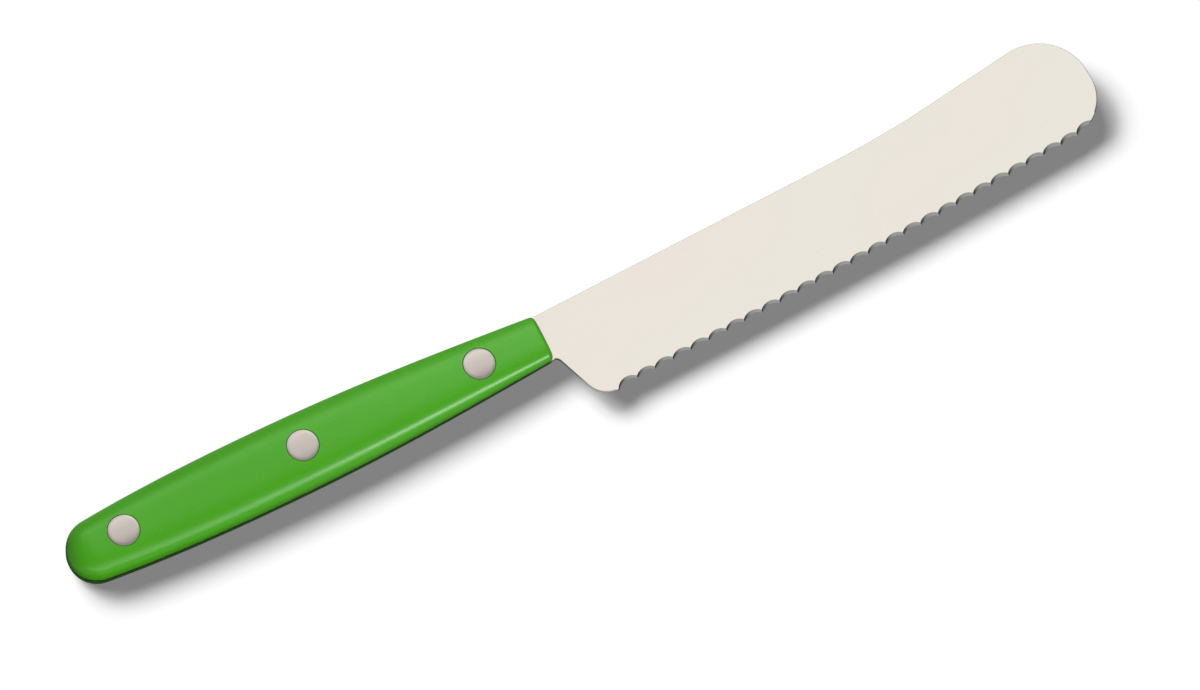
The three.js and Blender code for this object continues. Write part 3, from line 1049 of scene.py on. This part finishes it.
def rivet_finish():
    """Light metal ground flush along the handle."""
    finish = Finish("satin rivet metal")
    lines = finish.noise((0.3, 6.0, 6.0), detail=3, turn=HANDLE_ANGLE)
    finish.set(
        Base_Color=finish.blend(finish.ranged(lines, 0, 1), (0.59, 0.535, 0.485), (0.63, 0.575, 0.525)),
        Roughness=finish.ranged(lines, 0.30, 0.38),
        Metallic=1.0,
    )
    finish.bumped(lines, 0.08, 0.015)
    return finish.material


# Stage

VIEW_AZIMUTH = math.radians(-27.86)
VIEW_ELEVATION = math.radians(74.1)
VIEW_ROLL = math.radians(-1.56)
VIEW_DISTANCE = 0.9  # the view is parallel, as the photograph shows next to no perspective
PICTURE_SIZE = Vector((1200, 690))
KNIFE_IN_PICTURE = Vector((584.7, 329.3))  # the middle of the knife's box, in picture pixels
PIXEL = 0.1969 * MM  # what a pixel covers at the knife
TABLE_LEAN = 0.009  # the table falls away from the butt to the tip, as the shadow in the photograph does


def view_axes():
    """Right, up and back of the camera."""
    cos, sin = math.cos(VIEW_AZIMUTH), math.sin(VIEW_AZIMUTH)
    right = Vector((cos, sin, 0))
    level = math.cos(VIEW_ELEVATION)
    back = Vector((sin * level, -cos * level, math.sin(VIEW_ELEVATION)))
    roll = Matrix.Rotation(VIEW_ROLL, 3, back)
    return roll @ right, roll @ back.cross(right), back


def make_camera():
    """A parallel view at the photograph's angle."""
    right, up, back = view_axes()
    low, high = CAD_BOX
    off = (PICTURE_SIZE / 2 - KNIFE_IN_PICTURE) * PIXEL
    target = (low + high) / 2 + right * off.x - up * off.y
    camera = bpy.data.objects.new("camera", bpy.data.cameras.new("camera"))
    bpy.context.scene.collection.objects.link(camera)
    turn = Matrix((right, up, back)).transposed().to_4x4()
    camera.matrix_world = Matrix.Translation(target + back * VIEW_DISTANCE) @ turn
    camera.data.type = "ORTHO"
    camera.data.ortho_scale = PICTURE_SIZE.x * PIXEL
    bpy.context.scene.camera = camera


def table_height(x):
    """The table touches the crown of the lower scale near the butt, and leans from there."""
    butt = CAD_BOX[0].x + BUTT_RADIUS * MM
    return TABLE_LEAN * (butt - x)


def make_table():
    """A table top, white to the eye but dim grey to light that bounces off it, which leaves painted shade
    on the knife's underside and near side.
    """
    size = 6.0
    # dim is the colour that bounced light meets: a dark grey that stands in for shade on the knife's
    # underside, while the eye sees white.
    dim, white = (0.2, 0.2, 0.2), (0.9, 0.9, 0.9)
    mesh = bpy.data.meshes.new("table")
    corners = ((-size, -size), (size, -size), (size, size), (-size, size))
    mesh.from_pydata([(x, y, table_height(x)) for x, y in corners], [], [(0, 1, 2, 3)])
    table = bpy.data.objects.new("table", mesh)
    bpy.context.scene.collection.objects.link(table)
    finish = Finish("white table")
    finish.set(
        Base_Color=finish.blend(finish.seen(), dim, white),
        Roughness=0.9,
        Specular_IOR_Level=0.0,
    )
    mesh.materials.append(finish.material)
    table.visible_glossy = False
    return table


def lamp(name, kind, back, distance, aim, receivers, **settings):
    """A lamp at a distance from a point, shining on some of the scene."""
    light = bpy.data.lights.new(name, kind)
    for key, value in settings.items():
        setattr(light, key, value)
    holder = bpy.data.objects.new(name, light)
    bpy.context.scene.collection.objects.link(holder)
    holder.location = aim + back.normalized() * distance
    holder.rotation_mode = "QUATERNION"
    holder.rotation_quaternion = back.to_track_quat("Z", "Y")
    holder.visible_camera = False
    group = bpy.data.collections.new(name + " receivers")
    for piece in receivers:
        group.objects.link(piece)
    holder.light_linking.receiver_collection = group
    return holder


def panel_power(radiance, width, depth):
    """Power of an area lamp that looks as bright as a surface of a given radiance."""
    return radiance * math.pi * width * depth


def level_power(level, distance):
    """Power of an area lamp that lights a facing surface to a share of its own colour."""
    return level * math.pi**2 * distance**2


def room_axes():
    """The level directions away from the eye and to its right."""
    right, up, _ = view_axes()
    return Vector((up.x, up.y, 0)).normalized(), Vector((right.x, right.y, 0)).normalized()


def upward(bearing, elevation):
    """A direction by its level bearing and its angle above the table."""
    angle = math.radians(elevation)
    return bearing.normalized() * math.cos(angle) + Vector((0, 0, math.sin(angle)))


def make_lights(knife, table):
    """Soft lamps on the knife, panels that only its upper scale mirrors, and lights for the shadow."""
    far, side = room_axes()
    edge_side = Vector((-0.36, -1, 0))
    front_edge_side = Vector((0.24, -0.97, 0))
    low, high = CAD_BOX
    middle = (low + high) / 2
    distance = 1.0
    blade, right_scale, _, sleeves, pins = knife

    # Direction, shift towards the tip, and level
    soft_size = 0.7
    soft_lamps = {
        "top lamp": (upward(far, 90), 0.25, 0.385),
        "far lamp": (upward(far, 20), 0.0, 0.57),
        "near lamp": (upward(-far, 20), 0.25, 0.57),
    }
    for name, (back, ahead, level) in soft_lamps.items():
        aim = middle + Vector((ahead, 0, 0))
        soft = lamp(
            name, "AREA", back, distance, aim, [blade, right_scale, sleeves, pins],
            energy=level_power(level, distance),
            shape="DISK",
            size=soft_size,
        )
        soft.visible_glossy = False

    # Direction, width, height and radiance
    panels = {
        "handle strip": (upward(front_edge_side, 23), 0.33, 0.3, 14.2),
        "soft strip": (upward(edge_side, 11), 1.6, 0.14, 3.0),
        "far strip": (Vector((0.2, 0.6, 0.77)), 0.9, 0.3, 1.25),
        "front panel": (Vector((0.47, 0.24, 0.85)), 0.7, 0.42, 1.3),
    }
    for name, (back, width, height, radiance) in panels.items():
        panel = lamp(
            name, "AREA", back, distance, middle, [right_scale],
            energy=panel_power(radiance, width, height),
            shape="RECTANGLE",
            size=width,
            size_y=height,
        )
        panel.visible_diffuse = False

    # Direction and strength
    spread = math.radians(28)
    shadow_lights = {
        "left shadow light": (upward(far - 2.4 * side, 52), 1.8),
        "far shadow light": (upward(far - 0.9 * side, 57.5), 1.65),
    }
    for name, (back, strength) in shadow_lights.items():
        sun = lamp(name, "SUN", back, distance, middle, [table], energy=strength, angle=spread)
        sun.visible_glossy = False
    for piece in knife:
        piece.visible_diffuse = False


def make_card():
    """A dark card under the handle, seen only in reflections: a painted dark reflection that darkens the
    seam along the tang and the handle's near side.
    """
    low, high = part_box("right_scale")
    reach = 6 * MM
    lift = 0.05 * MM
    # The card's dark grey shows only in reflections, as a painted dark reflection along the tang and the
    # scales' near side.
    tone = 0.06
    back, near, far = low.x - reach, low.y - reach, high.y + reach
    mesh = bpy.data.meshes.new("card")
    corners = ((back, near), (high.x, near), (high.x, far), (back, far))
    mesh.from_pydata([(x, y, table_height(x) + lift) for x, y in corners], [], [(0, 1, 2, 3)])
    card = bpy.data.objects.new("card", mesh)
    bpy.context.scene.collection.objects.link(card)
    finish = Finish("dark card")
    finish.set(Base_Color=(tone, tone, tone, 1), Roughness=0.9, Specular_IOR_Level=0.0)
    mesh.materials.append(finish.material)
    card.visible_camera = False
    card.visible_diffuse = False
    card.visible_transmission = False
    card.visible_shadow = False


def make_surroundings():
    """White to the eye, dim as light, and for gloss a room with a far glow and a dark low corner."""
    ambient = 0.24
    room_tone, dark_tone = 0.42, 0.04
    glow = 1.06
    world = bpy.data.worlds.new("studio")
    world.use_nodes = True
    world.cycles.sampling_method = "NONE"
    bpy.context.scene.world = world
    tree = world.node_tree
    direction = add_node(tree, "ShaderNodeTexCoord").outputs["Generated"]
    far, _ = room_axes()

    def nearness(centre, start, end, low=0.0, high=1.0):
        """A value that goes from low to high as a ray nears a direction, between two cosines."""
        facing = add_node(tree, "ShaderNodeVectorMath", {0: direction, 1: centre}, operation="DOT_PRODUCT")
        stretched = add_node(tree, "ShaderNodeMapRange", {
            "Value": facing.outputs["Value"],
            "From Min": start,
            "From Max": end,
            "To Min": low,
            "To Max": high,
        })
        return Term(tree, stretched.outputs[0])

    far_glow = nearness(upward(far, 54), 0.72, 1.0)
    walls = nearness(Vector((0.8, 0, -0.6)), 0.38, 0.80, room_tone, dark_tone)
    room = far_glow * far_glow * glow + walls
    path = add_node(tree, "ShaderNodeLightPath").outputs
    gloss = Term(tree, path["Is Glossy Ray"]).least(path["Is Transmission Ray"])
    dim = gloss * room + (1 - gloss) * ambient
    seen = Term(tree, path["Is Camera Ray"])
    background = tree.nodes["Background"]
    connect(tree, seen + (1 - seen) * dim, background.inputs["Strength"])
    background.inputs["Color"].default_value = (1, 1, 1, 1)


# The knife

def make_knife():
    """All nine pieces as five objects, dressed, with the imported parts hidden and each piece attached to
    the root body.
    """
    steel, ground = blade_finish(), ground_and_shade_finish()
    plastic, metal = plastic_finish(), rivet_finish()
    over = turned_over()
    blade = make_blade(steel, ground)
    right_scale = make_scale("right_handle_scale", plastic, Matrix())
    left_scale = make_scale("left_handle_scale", plastic, over)
    crown_mesh = bpy.data.meshes.new("crown")
    form, _, _ = skin_form(drilled=False)
    form.to_mesh(crown_mesh)
    form.free()
    crown_form = bpy.data.objects.new("crown", crown_mesh)
    bpy.context.scene.collection.objects.link(crown_form)
    tree = rivet_tree()
    sleeves = make_rivets("rivet_sleeves", tree, sleeve_shank(), crown_form, metal, Matrix())
    pins = make_rivets("rivet_pins", tree, pin_shank(), crown_form, metal, over)
    bpy.data.objects.remove(crown_form)

    rivets = ("front_rivet_", "middle_rivet_", "rear_rivet_")
    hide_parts("blade")
    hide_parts("right_scale")
    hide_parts("left_scale")
    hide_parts(*(name + "sleeve" for name in rivets))
    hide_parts(*(name + "pin" for name in rivets))
    slots = {
        "blade_steel": [blade],
        "green_plastic": [right_scale, left_scale],
        "rivet_metal": [sleeves, pins],
    }
    for slot, pieces in slots.items():
        for piece in pieces:
            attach(piece, "root")
    return [blade, right_scale, left_scale, sleeves, pins]


bpy.context.scene.view_settings.view_transform = "Standard"
make_camera()
knife = make_knife()
make_lights(knife, make_table())
make_card()
make_surroundings()
